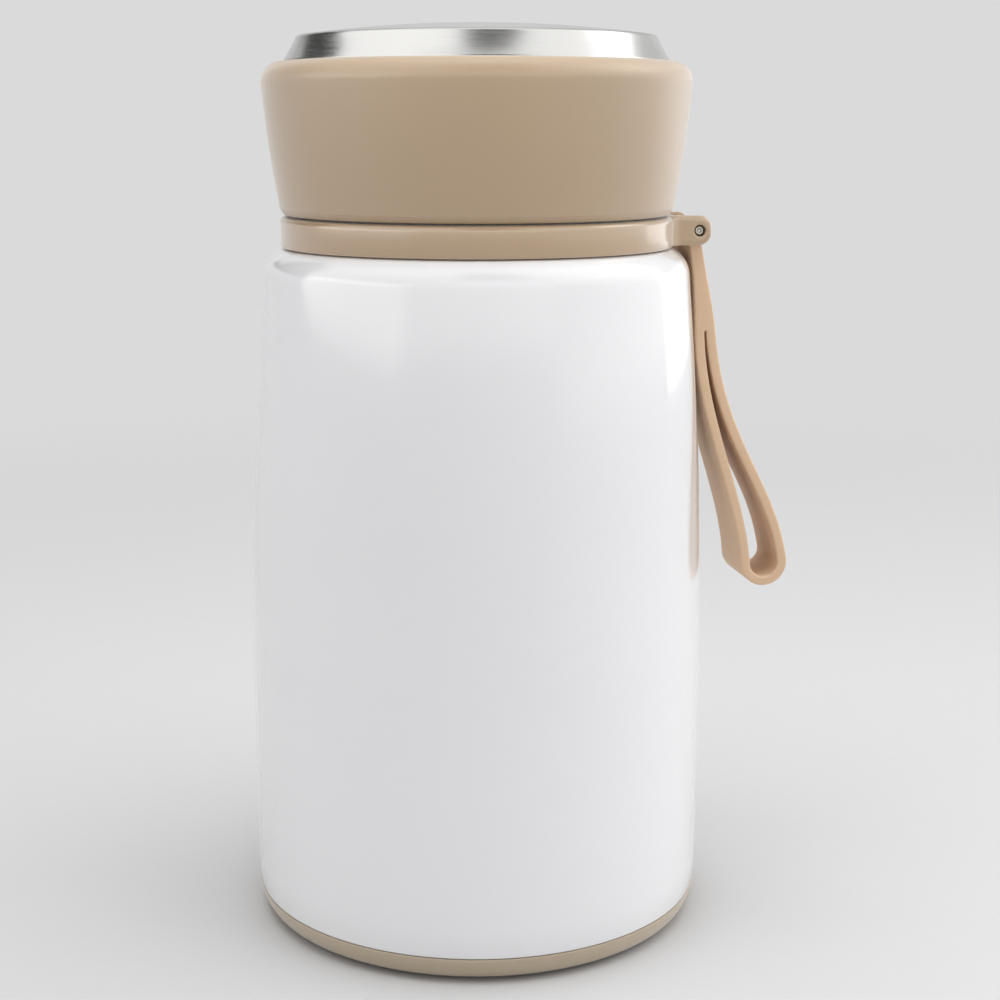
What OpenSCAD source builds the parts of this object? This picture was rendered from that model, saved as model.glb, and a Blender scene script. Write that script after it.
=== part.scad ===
// Insulated food jar: a vacuum jar with a screw-on lid that turns over to serve as a bowl,
// a screw-in stopper with a vent button, and a silicone carry strap hinged on the collar.
// Millimetres, +Z up. The origin is the centre of the foot; the strap hangs on the +X side.

/* [Jar body] */
// Outside diameter of the body's straight wall
body_d = 100; // [96:0.5:110]
// Height of the flat top of the shoulder above the foot
shoulder_z = 148.2; // [130:0.1:170]
// Radius of the rounded shoulder edge
shoulder_r = 6; // [5.4:0.1:7]
// Height where the straight wall starts to draw in
taper_z = 59; // [40:1:80]
// How far the wall draws in, in radius, from the straight part to the shoulder
taper_drop = 4.2; // [3.6:0.1:4.6]
// Lean of the wall where it meets the shoulder, in degrees
shoulder_lean = 5; // [4:0.5:6]
// Wall of the outer steel shell
shell_wall = 0.6; // [0.4:0.05:0.8]
// Wall of the inner steel vessel
liner_wall = 0.5; // [0.4:0.05:0.7]
// Vacuum space between shell and vessel
vacuum_gap = 3.4; // [2.6:0.1:3.8]
// Vacuum space under the vessel's floor
floor_gap = 4; // [3.5:0.1:6]
// Outside corner radius of the vessel's floor
liner_corner_r = 7; // [4:0.5:10]
// Radius of the long sweep at the lower edge of the shell
hem_sweep_r = 40; // [30:1:60]
// Height of that sweep
hem_sweep_h = 6.5; // [5:0.5:8]

/* [Base] */
// Height of the base cap
cap_h = 5.8; // [5.4:0.1:6.2]
// Radius of the cap's rounded side
cap_edge_r = 6.2; // [6:0.1:8]
// Step from the body's straight wall in to the cap's top edge
cap_inset = 0.5; // [0.3:0.05:1]
// Wall of the cap's rim
cap_wall = 1.6; // [1.3:0.1:2]
// Thickness of the cap's floor
cap_floor_t = 1.7; // [1.3:0.1:2.2]
// Open line between the cap and the shell
seam = 0.2; // [0.15:0.05:0.4]
// Height of the cap's lower edge above the table
cap_lift = 0.8; // [0.6:0.1:1.1]
// Rounding of the cap's lower edge
cap_low_edge = 0.5; // [0.3:0.1:0.8]
// Step from the cap's lower edge in to the foot ring
foot_step = 3.6; // [2.4:0.2:5]
// Width of the cap's foot ring
foot_w = 5; // [3:0.2:8]
// Thickness of the anti-slip pad
pad_t = 1.4; // [1:0.1:2]
// Rings cut in the pad
pad_rings = 4; // [2:1:6]
// Width of each ring cut
pad_ring_w = 1.2; // [0.8:0.1:1.8]
// Depth of each ring cut
pad_ring_depth = 0.4; // [0.2:0.05:0.6]
// Height of the bottom plate's welded rim
plate_rim_h = 2.6; // [2:0.1:3.2]
// Radius of the dimple in the bottom plate
dimple_r = 6; // [5:0.5:8]
// Depth of the dimple
dimple_depth = 1; // [0.7:0.1:1.4]
// Radius of the pumping hole in the dimple
pump_hole_r = 1.2; // [0.8:0.1:1.6]
// Radius of the solder plug that closes the pumping hole
solder_r = 4.5; // [3.6:0.1:4.8]
// Thickness of the solder plug
solder_t = 0.8; // [0.5:0.1:1]
// Radius of the getter pill
getter_r = 4; // [3:0.5:5]
// Thickness of the getter pill
getter_t = 1.6; // [1.2:0.1:2.2]
// Distance of the getter pill from the axis
getter_x = 20; // [14:1:28]
// Thickness of the heat shield foil
foil_t = 0.2; // [0.15:0.05:0.3]
// Space between the foil and the vessel
foil_gap = 0.3; // [0.2:0.05:0.5]

/* [Neck] */
// Step from the body's straight wall in to the bore of the mouth
neck_inset = 15.2; // [14.8:0.1:16]
// Height of the shell's neck above the shoulder
neck_h = 14.7; // [13.5:0.1:16]
// Fillet where the neck leaves the shoulder
neck_fillet = 0.9; // [0.6:0.1:1.1]
// Height of the rolled lip
lip_h = 0.8; // [0.6:0.1:1]
// Overhang of the rolled lip past the shell's neck
lip_over = 0.8; // [0.6:0.1:0.9]
// Wall of the neck's thread ring
ring_wall = 1.55; // [1.3:0.05:1.8]
// Height of the flange that holds the collar down
ring_flange_h = 0.8; // [0.6:0.1:1]

/* [Threads] */
// Height of the lid's thread, root to crest
lid_thread_h = 1.3; // [1.1:0.05:1.5]
// Axial distance between neighbouring ribs of the lid's thread
lid_pitch = 4; // [3.6:0.1:4.4]
// Starts of the lid's thread
lid_starts = 3; // [2:1:4]
// Turn of each rib of the lid's thread, in degrees
lid_rib_turn = 108; // [72:6:108]
// Height of the stopper's thread, root to crest
plug_thread_h = 1.05; // [0.9:0.05:1.2]
// Axial distance between neighbouring ribs of the stopper's thread
plug_pitch = 4; // [3.6:0.1:4.4]
// Starts of the stopper's thread
plug_starts = 2; // [1:1:3]
// Turn of each rib of the stopper's thread, in degrees
plug_rib_turn = 168; // [96:6:168]
// Axial width of a rib at its root
rib_root_w = 1.9; // [1.6:0.1:2]
// Axial width of a rib at its crest
rib_crest_w = 1; // [0.8:0.1:1.2]
// Radial play between a crest and the facing root
thread_play = 0.25; // [0.2:0.05:0.35]

/* [Collar and strap] */
// Height of the collar
collar_h = 6.4; // [6:0.1:7.4]
// Rounding of the collar's top edge
collar_edge_r = 1.2; // [0.8:0.1:1.5]
// How far the lug stands out past the collar's ring
lug_out = 7.6; // [7.2:0.1:10]
// Width of the lug across both ears
lug_w = 20; // [18.6:0.2:24]
// Rounding of the lug's outer end
lug_end_r = 2.7; // [2:0.1:3]
// Fillet between lug and ring
lug_fillet_r = 2.5; // [1.5:0.1:3.5]
// Distance from the pin to the end of the lug
pin_inset = 2.7; // [2.5:0.1:4]
// Radius of the strap pin
pin_r = 1; // [0.9:0.05:1.2]
// Radius of the sink round each pin end
pin_sink_r = 1.25; // [1.2:0.05:1.6]
// Depth of the sink round each pin end
pin_sink = 0.6; // [0.4:0.1:1]
// Width of the strap
strap_w = 15; // [12:0.5:16]
// Thickness of one leg of the strap
leg_t = 2.1; // [1.8:0.1:2.4]
// Radius of the strap's eye round the pin
eye_r = 2.5; // [2.3:0.1:2.8]
// Drop from the pin to the top of the slit between the legs
slit_drop = 22.15; // [19:0.05:26]
// Width of the slit at its top
slit_w = 0.4; // [0.3:0.05:0.8]
// Drop from the pin to the centre of the bottom loop
loop_drop = 74.65; // [62:0.05:90]
// How far the loop's centre stands out past the pin
loop_out = 17.7; // [15:0.1:20]
// Middle radius of the bottom loop
loop_r = 4.3; // [3.7:0.05:5]

/* [Lid] */
// Open line between collar and lid
lid_gap = 0.4; // [0.3:0.05:0.7]
// Height of the lid's plastic shell
lid_h = 31.55; // [30:0.1:36]
// Wall of the lid at its lower edge
lid_low_wall = 1.8; // [1.5:0.1:2.4]
// Wall of the lid above the thread ring
lid_wall = 2; // [1.6:0.1:2.4]
// How far the lid flares out, in radius, from lower to upper edge
lid_flare = 3.45; // [2.8:0.05:4.5]
// Outward bulge of the lid's side
lid_bulge = 0.35; // [0:0.05:0.6]
// Width of the bevel at the lid's lower edge
lid_bevel_w = 0.9; // [0.5:0.05:1]
// Height of the bevel at the lid's lower edge
lid_bevel_h = 1.3; // [0.8:0.1:2]
// Radius of the lid's rounded top edge
lid_top_r = 4.05; // [3.6:0.05:4.4]
// Wall of the lid's thread ring
lid_ring_wall = 1.1; // [0.9:0.05:1.3]
// Thickness of the thread ring's inner flange
lid_flange_t = 1; // [0.8:0.1:1.3]
// Wall of the steel bowl
bowl_wall = 0.6; // [0.4:0.05:0.7]
// Height of the bowl's foot above the lid's shell
bowl_foot_h = 5.35; // [4.5:0.05:8]
// How far the foot draws in, in radius, from the lid's shell to its top
bowl_foot_in = 2.8; // [2:0.05:4]
// Hollow of the foot's flared side
bowl_foot_hollow = 0.15; // [0:0.05:0.3]
// Rounding of the foot's rim
bowl_edge_r = 0.8; // [0.7:0.05:1.2]
// Radius of the crowned top inside the rim
bowl_crown_r = 275; // [200:5:400]
// Radius of the flat in the middle of the crown
bowl_flat_r = 16; // [10:1:22]

/* [Seals and clearances] */
// Thickness of the lid's seal
lid_seal_t = 0.9; // [0.7:0.05:1.1]
// Thickness of the stopper's seal
plug_seal_t = 1; // [0.8:0.05:1.3]
// Radial width of the stopper's seal
plug_seal_w = 2; // [1.6:0.1:2.2]
// Space beside each piece that swings, turns or slides
run_gap = 0.2; // [0.15:0.05:0.25]
// Space round each soft piece
soft_gap = 0.15; // [0.1:0.05:0.25]
// Space between strap and body where the strap hangs closest
strap_gap = 0.35; // [0.3:0.05:0.6]
// Space round the pin in the lug's ears
pin_fit = 0.02; // [0.01:0.01:0.04]
// Space round the pin in the strap's eye
pin_play = 0.06; // [0.04:0.01:0.1]
// Space between glued or pressed pieces
fit_gap = 0.05; // [0.03:0.01:0.08]

/* [Stopper] */
// How far the plug's flange reaches past the mouth's bore
flange_over = 0.9; // [0.75:0.05:1.1]
// Depth of the plug below its flange
plug_h = 26.2; // [24:0.1:30]
// Wall of the plug
plug_wall = 1.8; // [1.4:0.1:2.2]
// Thickness of the plug's flange and top plate
flange_t = 1.8; // [1.5:0.1:2.4]
// Thickness of the plug's bottom disc
plug_base_t = 1.6; // [1.2:0.1:2]
// Thickness of the cover's plate
cover_t = 2.2; // [1.8:0.1:3]
// Radius of the grip
grip_r = 17; // [15:0.5:20]
// Height of the grip above the plug's top plate
grip_h = 8; // [7:0.1:9]
// Hollows round the grip
grip_hollows = 8; // [6:1:12]
// Radius of each hollow
grip_hollow_r = 4; // [3:0.5:5]
// Depth of each hollow
grip_hollow_depth = 2; // [1:0.25:2.5]

/* [Vent valve] */
// Radius of the vent button
button_r = 8.6; // [7.6:0.1:9.6]
// Height of the button's head
button_h = 5.4; // [4.8:0.1:6.2]
// How far the button stands above the grip
button_proud = 0.5; // [0.2:0.1:1]
// Travel of the button
button_travel = 2; // [1.6:0.1:2.2]
// Radius of the vent tube's spring pocket
pocket_r = 6; // [5.4:0.1:6.6]
// Height of the spring pocket's floor above the plug's bottom
pocket_floor = 16; // [14:0.5:18]
// Radius of the vent channel below the pocket
channel_r = 3.2; // [2.8:0.1:3.4]
// Wall of the vent tube
tube_wall = 1.4; // [1:0.1:1.8]
// Radius of the valve stem
stem_r = 1.6; // [1.3:0.1:1.8]
// Radius of the valve disc
valve_disc_r = 4.6; // [4.2:0.1:5.4]
// Thickness of the valve disc
valve_disc_t = 1.3; // [1:0.1:1.6]
// Radius of the spring's coil, to the middle of the wire
coil_r = 4.4; // [4:0.1:4.8]
// Radius of the spring's wire
wire_r = 0.35; // [0.3:0.05:0.45]
// Turns of the spring
coil_turns = 5; // [4:1:6]

/* [Hidden] */

round_fn = 96;
small_fn = 48;
taper_steps = 14;
arc_steps = 8;
body_r = body_d / 2;

// Colours
beige = [0.80, 0.69, 0.61];
steel = [0.78, 0.78, 0.77];
white = [0.96, 0.96, 0.96];
grey = [0.55, 0.55, 0.55];
copper = [0.72, 0.45, 0.33];
milk = [0.92, 0.90, 0.87];

// Shoulder: the arc starts where the drawn-in wall leans by shoulder_lean
shoulder_edge_r = body_r - taper_drop;
shoulder_arc_x = shoulder_edge_r - shoulder_r * cos(shoulder_lean);
shoulder_arc_z = shoulder_z - shoulder_r;
taper_top_z = shoulder_arc_z + shoulder_r * sin(shoulder_lean);
taper_power = tan(shoulder_lean) * (taper_top_z - taper_z) / taper_drop;

// Offsets inward from the outside of the body
liner_out = shell_wall + vacuum_gap;
liner_in = liner_out + liner_wall;

// Base
cap_top_r = body_r - cap_inset;
function cap_side_r(z) = cap_top_r - cap_edge_r + sqrt(pow(cap_edge_r, 2) - pow(cap_h - z, 2));
foot_r = cap_side_r(cap_lift) - foot_step;
pad_recess_r = foot_r - foot_w;
pad_r = pad_recess_r - seam;
pad_seat_z = pad_t + soft_gap;
cap_floor_z = pad_seat_z + cap_floor_t;
skirt_r = cap_top_r - cap_wall - fit_gap;
hem_z = cap_h + seam;
plate_z = cap_floor_z + plate_rim_h;
liner_floor_z = plate_z + floor_gap;

// Neck, from the bore outward
mouth_r = body_r - neck_inset;
liner_neck_r = mouth_r + liner_wall;
shell_neck_in_r = liner_neck_r + 2 * fit_gap;
neck_r = shell_neck_in_r + shell_wall;
neck_top_z = shoulder_z + neck_h;
lip_z = neck_top_z + lip_h;
lip_r = neck_r + lip_over;
ring_in_r = neck_r + fit_gap;
ring_r = ring_in_r + ring_wall;
ring_top_z = neck_top_z - 2 * fit_gap;
ring_flange_r = ring_r + lid_thread_h;
ring_flange_top_z = shoulder_z + collar_h - ring_flange_h;
ring_flange_z = ring_flange_top_z - ring_flange_h;

// Collar and lug
collar_top_z = shoulder_z + collar_h;
collar_in_r = ring_r + fit_gap;
lid_bore_r = ring_flange_r + thread_play;
lid_ring_r = lid_bore_r + lid_ring_wall;
lid_low_r = lid_ring_r + fit_gap + lid_low_wall;
collar_r = lid_low_r;
lug_x = collar_r + lug_out;
pin_x = lug_x - pin_inset;
pin_z = shoulder_z + collar_h / 2;
slot_w = strap_w + 2 * run_gap;
pin_hole_r = pin_r + pin_fit;
eye_hole_r = pin_r + pin_play;

// Lid
lid_z = collar_top_z + lid_gap;
lid_top_z = lid_z + lid_h;
lid_edge_z = lid_top_z - lid_top_r;
lid_edge_r = lid_low_r + lid_flare;
lid_ring_z = lid_z + lid_gap;
lid_rib_rise = lid_starts * lid_pitch * lid_rib_turn / 360;
ring_rib_z = ring_top_z - 2 * fit_gap - rib_root_w / 2 - lid_rib_rise;
seal_z = lip_z + soft_gap;
lid_flange_z = seal_z + lid_seal_t + soft_gap;
bowl_rim_z = lid_flange_z + lid_flange_t;
bowl_r = lid_edge_r - lid_top_r - bowl_wall;
bowl_rim_r = lid_ring_r - fit_gap;
bowl_top_z = lid_top_z + bowl_foot_h;
bowl_foot_lean = atan(bowl_foot_in / bowl_foot_h);
bowl_side_top_z = bowl_top_z - bowl_edge_r * (1 - sin(bowl_foot_lean));
bowl_foot_r = bowl_r - bowl_foot_in;

// Stopper, from the mouth's bore inward
flange_r = mouth_r + flange_over;
plug_r = mouth_r - plug_thread_h - 1.5 * thread_play;
plug_crest_r = plug_r + plug_thread_h;
bead_crest_r = plug_r + 1.5 * thread_play;
flange_z = seal_z + plug_seal_t + soft_gap;
top_plate_z = flange_z + flange_t;
plug_z = flange_z - plug_h;
plug_base_top_z = plug_z + plug_base_t;
grip_z = top_plate_z + grip_h;
cover_r = flange_r - plug_seal_w;

// Vent valve
button_z = grip_z + button_proud - button_h;
button_hole_r = button_r + run_gap;
spring_top_z = top_plate_z + button_travel / 2;
pocket_z = plug_z + pocket_floor;
disc_z = plug_z - soft_gap - valve_disc_t;
stem_head_h = 1;
stem_seat_z = button_z + button_h / 3;
stem_z = disc_z - soft_gap - stem_head_h;

// Radius of the outside of the body at a height
function wall_r(z) = body_r - (z <= taper_z ? 0
    : taper_drop * pow((z - taper_z) / (taper_top_z - taper_z), taper_power));

// Points of an arc about [x, z] from one angle to another
function arc(x, z, r, from, to, steps = arc_steps) = [for (i = [0 : steps])
    let (a = from + (to - from) * i / steps) [x + r * cos(a), z + r * sin(a)]];

// Drawn-in wall and shoulder, moved inward by a distance, from the straight wall to the flat top
function body_side(inward) = concat(
    [for (i = [0 : taper_steps - 1])
        let (z = taper_z + (taper_top_z - taper_z) * i / taper_steps) [wall_r(z) - inward, z]],
    arc(shoulder_arc_x, shoulder_arc_z, shoulder_r - inward, shoulder_lean, 90));

function reversed(list) = [for (i = [len(list) - 1 : -1 : 0]) list[i]];

// One point, and all points, of a cubic curve that leaves a along one direction and reaches b along another
function heading(angle) = [sin(angle), -cos(angle)];
function curve_point(a, a_grip, b_grip, b, t) = pow(1 - t, 3) * a + 3 * t * pow(1 - t, 2) * a_grip
    + 3 * pow(t, 2) * (1 - t) * b_grip + pow(t, 3) * b;
function curve(a, a_angle, a_pull, b, b_angle, b_pull, steps) = [for (i = [0 : steps])
    curve_point(a, a + a_pull * heading(a_angle), b - b_pull * heading(b_angle), b, i / steps)];

// A ring turned from an outline given in [radius, height]
module turned(points) rotate_extrude($fn = round_fn) polygon(points);

module tube(r_in, r_out, z, h, fn = round_fn) {
    translate([0, 0, z]) difference() {
        cylinder(r = r_out, h = h, $fn = fn);
        translate([0, 0, -1]) cylinder(r = r_in, h = h + 2, $fn = fn);
    }
}

// One helical rib whose foot lies inside the wall it grows from, sunk into that wall at both ends
module rib(wall_r, foot_r, crest_r, lead, turn, z) {
    steps = round(turn / 6);
    fade = 3;
    sunk_r = (wall_r + foot_r) / 2;
    function section(i) = let (
            full = min(1, i / fade, (steps - i) / fade),
            a = turn * i / steps,
            mid = z + lead * a / 360,
            tip = sunk_r + (crest_r - sunk_r) * full,
            foot = rib_root_w * (0.4 + 0.6 * full) / 2,
            crest = rib_crest_w * (0.4 + 0.6 * full) / 2)
        [for (p = [[foot_r, -foot], [tip, -crest], [tip, crest], [foot_r, foot]])
            [p[0] * cos(a), p[0] * sin(a), mid + p[1]]];
    points = [for (i = [0 : steps]) each section(i)];
    outward = crest_r > foot_r;
    sides = [for (i = [0 : steps - 1], k = [0 : 3]) let (n = (k + 1) % 4)
        [4 * i + k, 4 * i + n, 4 * i + 4 + n, 4 * i + 4 + k]];
    ends = [[3, 2, 1, 0], [for (k = [0 : 3]) 4 * steps + k]];
    faces = concat(sides, ends);
    polyhedron(points, outward ? faces : [for (f = faces) reversed(f)]);
}

// The ribs of one thread, evenly spaced with equal spaces at their ends
module ribs(count, pitch, turn, wall_r, foot_r, crest_r, z) {
    for (i = [0 : count - 1]) rotate([0, 0, (360 * (i + 0.5)) / count - turn / 2])
        rib(wall_r, foot_r, crest_r, count * pitch, turn, z);
}

// Deep-drawn outer shell: hem over the base cap, straight wall, shoulder and neck
module outer_shell() {
    hem_top_z = hem_z + hem_sweep_h;
    function hem_r(z) = body_r - hem_sweep_r + sqrt(pow(hem_sweep_r, 2) - pow(hem_top_z - z, 2));
    hem = [for (i = [0 : 4]) let (z = hem_z + hem_sweep_h * i / 4) [hem_r(z), z]];
    hem_inside = [for (i = [1 : 4]) let (z = hem_z + hem_sweep_h * i / 4) [hem_r(z) - shell_wall, z]];
    fillet_x = neck_r + neck_fillet;
    outside = concat([[skirt_r, cap_floor_z], [skirt_r, hem_z]], hem, body_side(0),
        reversed(arc(fillet_x, shoulder_z + neck_fillet, neck_fillet, 180, 270)),
        [[neck_r, neck_top_z]]);
    inside = concat([[skirt_r - shell_wall, cap_floor_z], [skirt_r - shell_wall, hem_z + shell_wall],
        [hem_r(hem_z) - shell_wall, hem_z + shell_wall]], hem_inside, body_side(shell_wall),
        reversed(arc(fillet_x, shoulder_z + neck_fillet, neck_fillet + shell_wall, 180, 270)),
        [[neck_r - shell_wall, neck_top_z]]);
    color(white) turned(concat(outside, reversed(inside)));
}

// Bottom plate welded into the shell's skirt, with a dimple round the pumping hole
module shell_bottom() {
    rim_r = skirt_r - shell_wall - fit_gap;
    color(steel) difference() {
        union() {
            translate([0, 0, cap_floor_z]) cylinder(r = rim_r, h = plate_rim_h, $fn = round_fn);
            cylinder(r = dimple_r + shell_wall, h = plate_z + dimple_depth, $fn = small_fn);
        }
        translate([0, 0, cap_floor_z - shell_wall])
            cylinder(r = rim_r - shell_wall, h = plate_rim_h, $fn = round_fn);
        translate([0, 0, -1])
            cylinder(r = dimple_r, h = plate_z + dimple_depth - shell_wall + 1, $fn = small_fn);
        cylinder(r = dimple_r + 2 * shell_wall, h = plate_z - shell_wall, $fn = small_fn);
        cylinder(r = pump_hole_r, h = 2 * plate_z, $fn = small_fn);
    }
}

module vacuum_solder() {
    color(grey) translate([0, 0, plate_z + dimple_depth - shell_wall - solder_t])
        cylinder(r = solder_r, h = solder_t, $fn = small_fn);
}

module getter() {
    color(grey) translate([getter_x, 0, plate_z]) cylinder(r = getter_r, h = getter_t, $fn = small_fn);
}

// Inner vessel: rounded floor, shoulder parallel to the shell's, neck with rolled-in thread beads, lip
module inner_vessel() {
    bottom_r = body_r - liner_out - liner_corner_r;
    bottom_z = liner_floor_z + liner_corner_r;
    inner_corner = liner_corner_r - liner_wall;
    fillet_x = liner_neck_r + neck_fillet;
    fillet_z = shoulder_z - liner_out + neck_fillet;
    outside = concat([[0, liner_floor_z]], arc(bottom_r, bottom_z, liner_corner_r, 270, 360),
        body_side(liner_out), reversed(arc(fillet_x, fillet_z, neck_fillet, 180, 270)),
        [[liner_neck_r, neck_top_z], [lip_r, neck_top_z], [lip_r, lip_z - lip_h / 3],
        [lip_r - lip_h / 3, lip_z], [mouth_r + lip_h / 4, lip_z], [mouth_r, lip_z - lip_h / 4]]);
    inside = concat([[0, liner_floor_z + liner_wall]], arc(bottom_r, bottom_z, inner_corner, 270, 360),
        body_side(liner_in), reversed(arc(fillet_x, fillet_z, neck_fillet + liner_wall, 180, 270)));
    bead_z = shoulder_z + plug_pitch / 2 + rib_root_w / 2;
    color(steel) union() {
        turned(concat(outside, reversed(inside)));
        ribs(plug_starts, plug_pitch, plug_rib_turn, mouth_r, mouth_r + liner_wall / 2, bead_crest_r,
            bead_z);
    }
}

// Copper foil wrapped round the straight part of the vessel
module heat_shield() {
    r = body_r - liner_out + foil_gap;
    z = liner_floor_z + liner_corner_r;
    color(copper) tube(r, r + foil_t, z, taper_z - z);
}

// Base cap: floor with a foot ring round the pad's seat, rounded side and rim
module base_cap() {
    low_r = cap_side_r(cap_lift);
    low_z = cap_lift + cap_low_edge;
    side = [for (i = [0 : arc_steps]) let (z = low_z + (cap_h - low_z) * i / arc_steps)
        [cap_side_r(z), z]];
    rim_in_r = cap_top_r - cap_wall;
    color(beige) turned(concat([[0, cap_floor_z], [0, pad_seat_z], [pad_recess_r, pad_seat_z],
        [pad_recess_r, 0], [foot_r, 0], [foot_r, cap_lift], [low_r - cap_low_edge, cap_lift],
        [low_r - cap_low_edge / 4, cap_lift + cap_low_edge / 4]], side,
        [[rim_in_r, cap_h], [rim_in_r, cap_floor_z]]));
}

// Silicone pad with concentric grip rings
module base_pad() {
    step = pad_r / (pad_rings + 1);
    color(beige) difference() {
        cylinder(r = pad_r, h = pad_t, $fn = round_fn);
        for (i = [1 : pad_rings])
            tube(i * step, i * step + pad_ring_w, -1, 1 + pad_ring_depth);
    }
}

// Threaded plastic ring on the neck; its flange holds the collar down on the shoulder
module neck_thread_ring() {
    chamfer = neck_fillet + fit_gap;
    color(milk) union() {
        turned([[ring_in_r, shoulder_z + chamfer], [ring_in_r + chamfer, shoulder_z],
            [ring_r, shoulder_z], [ring_r, ring_flange_z], [ring_flange_r, ring_flange_z],
            [ring_flange_r, ring_flange_top_z], [ring_r, ring_flange_top_z], [ring_r, ring_top_z],
            [ring_in_r, ring_top_z]]);
        ribs(lid_starts, lid_pitch, lid_rib_turn, ring_r, ring_r - ring_wall / 3, ring_flange_r,
            ring_rib_z);
    }
}

// Collar ring with the two-eared lug that carries the strap
module collar() {
    counterbore_r = ring_flange_r + fit_gap;
    sunk = fit_gap;
    fillet_y = lug_w / 2 + lug_fillet_r - sunk;
    fillet_reach = collar_r + lug_fillet_r - sunk;
    fillet_x = sqrt(pow(fillet_reach, 2) - pow(fillet_y, 2));
    touch = (collar_r - sunk / 2) / fillet_reach;
    corner_x = sqrt(pow(collar_r, 2) - pow(lug_w / 2, 2));
    edge = collar_edge_r;
    low_edge = collar_edge_r / 4;
    color(beige) difference() {
        union() {
            turned(concat([[collar_in_r, shoulder_z], [collar_r - low_edge, shoulder_z],
                [collar_r, shoulder_z + low_edge]],
                arc(collar_r - edge, collar_top_z - edge, edge, 0, 90),
                [[collar_in_r, collar_top_z]]));
            difference() {
                lug_outline();
                cylinder(r = (collar_in_r + collar_r) / 2, h = 2 * shoulder_z, $fn = round_fn);
            }
            for (side = [-1, 1]) translate([0, 0, shoulder_z]) linear_extrude(collar_h - edge)
                difference() {
                    polygon([[fillet_x, side * (lug_w / 2 - 2 * sunk)],
                        [corner_x - 1, side * (lug_w / 2 - 2 * sunk)],
                        [(fillet_x - 1) * touch, side * fillet_y * touch],
                        [fillet_x * touch, side * fillet_y * touch]]);
                    translate([fillet_x, side * fillet_y]) circle(r = lug_fillet_r, $fn = small_fn);
                }
        }
        tube(0, counterbore_r, ring_flange_z, collar_h);
        slot();
        pin_axis(pin_hole_r, lug_w + 2);
        for (side = [-1, 1]) translate([0, side * (lug_w / 2 - pin_sink + lug_w / 2), 0])
            pin_axis(pin_sink_r, lug_w);
    }
}

module lug_outline() {
    r = lug_end_r;
    translate([0, lug_w / 2, 0]) rotate([90, 0, 0]) linear_extrude(lug_w)
        polygon(concat([[0, shoulder_z]], arc(lug_x - r, shoulder_z + r, r, 270, 360),
            arc(lug_x - r, collar_top_z - r, r, 0, 90), [[0, collar_top_z]]));
}

module slot() {
    translate([collar_r + run_gap, -slot_w / 2, shoulder_z - 1]) cube([lug_x, slot_w, collar_h + 2]);
}

// Cylinder along Y about the pin's axis
module pin_axis(r, length) {
    translate([pin_x, length / 2, pin_z]) rotate([90, 0, 0]) cylinder(r = r, h = length, $fn = small_fn);
}

module strap_pin() {
    color(steel) pin_axis(pin_r, lug_w - 2 * pin_sink);
}

// Strap: an eye on the pin, a solid stem, and two legs that part at the slit and meet in a loop.
// Its outline is drawn in [outward, up] about the pin.
module strap() {
    in_angle = 2;
    out_angle = 6;
    low_angle = 5;
    high_angle = 10;
    top_pull = [19, 25];
    low_pull = [16, 18.5];
    half = leg_t / 2;
    half_slit = slit_w / 2;
    fork_out = wall_r(pin_z - slit_drop) + strap_gap + leg_t + half_slit - pin_x;
    fork = [fork_out, -slit_drop];
    loop = [loop_out, -loop_drop];
    in_top = fork - [half + half_slit, 0];
    out_top = fork + [half + half_slit, 0];
    in_low = loop + loop_r * [-cos(low_angle), -sin(low_angle)];
    out_low = loop + loop_r * [cos(high_angle), sin(high_angle)];
    in_leg = curve(in_top, in_angle, top_pull[0], in_low, low_angle, low_pull[0], 16);
    out_leg = curve(out_top, out_angle, top_pull[1], out_low, high_angle, low_pull[1], 16);
    bottom = arc(loop[0], loop[1], loop_r, 180 + low_angle, 360 + high_angle, 16);
    path = concat(in_leg, [for (i = [1 : 15]) bottom[i]], reversed(out_leg));
    in_stem = curve([-eye_r, 0], 17, 8, in_top - [half, 0], in_angle, 9, 10);
    out_stem = curve([eye_r / 3, 0], 6, 7, out_top + [half, 0], out_angle, 7, 10);
    last = len(path) - 1;
    color(beige) translate([pin_x, strap_w / 2, pin_z]) rotate([90, 0, 0]) linear_extrude(strap_w)
        difference() {
            union() {
                polygon(concat(in_stem, [for (i = [1 : last - 1]) beside(path, i, -half)],
                    reversed(out_stem)));
                circle(r = eye_r, $fn = small_fn);
            }
            circle(r = eye_hole_r, $fn = small_fn);
            translate(fork) circle(r = half_slit, $fn = small_fn);
            polygon(concat([fork - [half_slit, 0]], [for (i = [1 : last - 1]) beside(path, i, half)],
                [fork + [half_slit, 0]]));
        }
}

// Point beside a path at one of its points, to the left for a positive distance
function beside(path, i, distance) = let (way = path[i + 1] - path[i - 1])
    path[i] + distance * [-way[1], way[0]] / norm(way);

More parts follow.
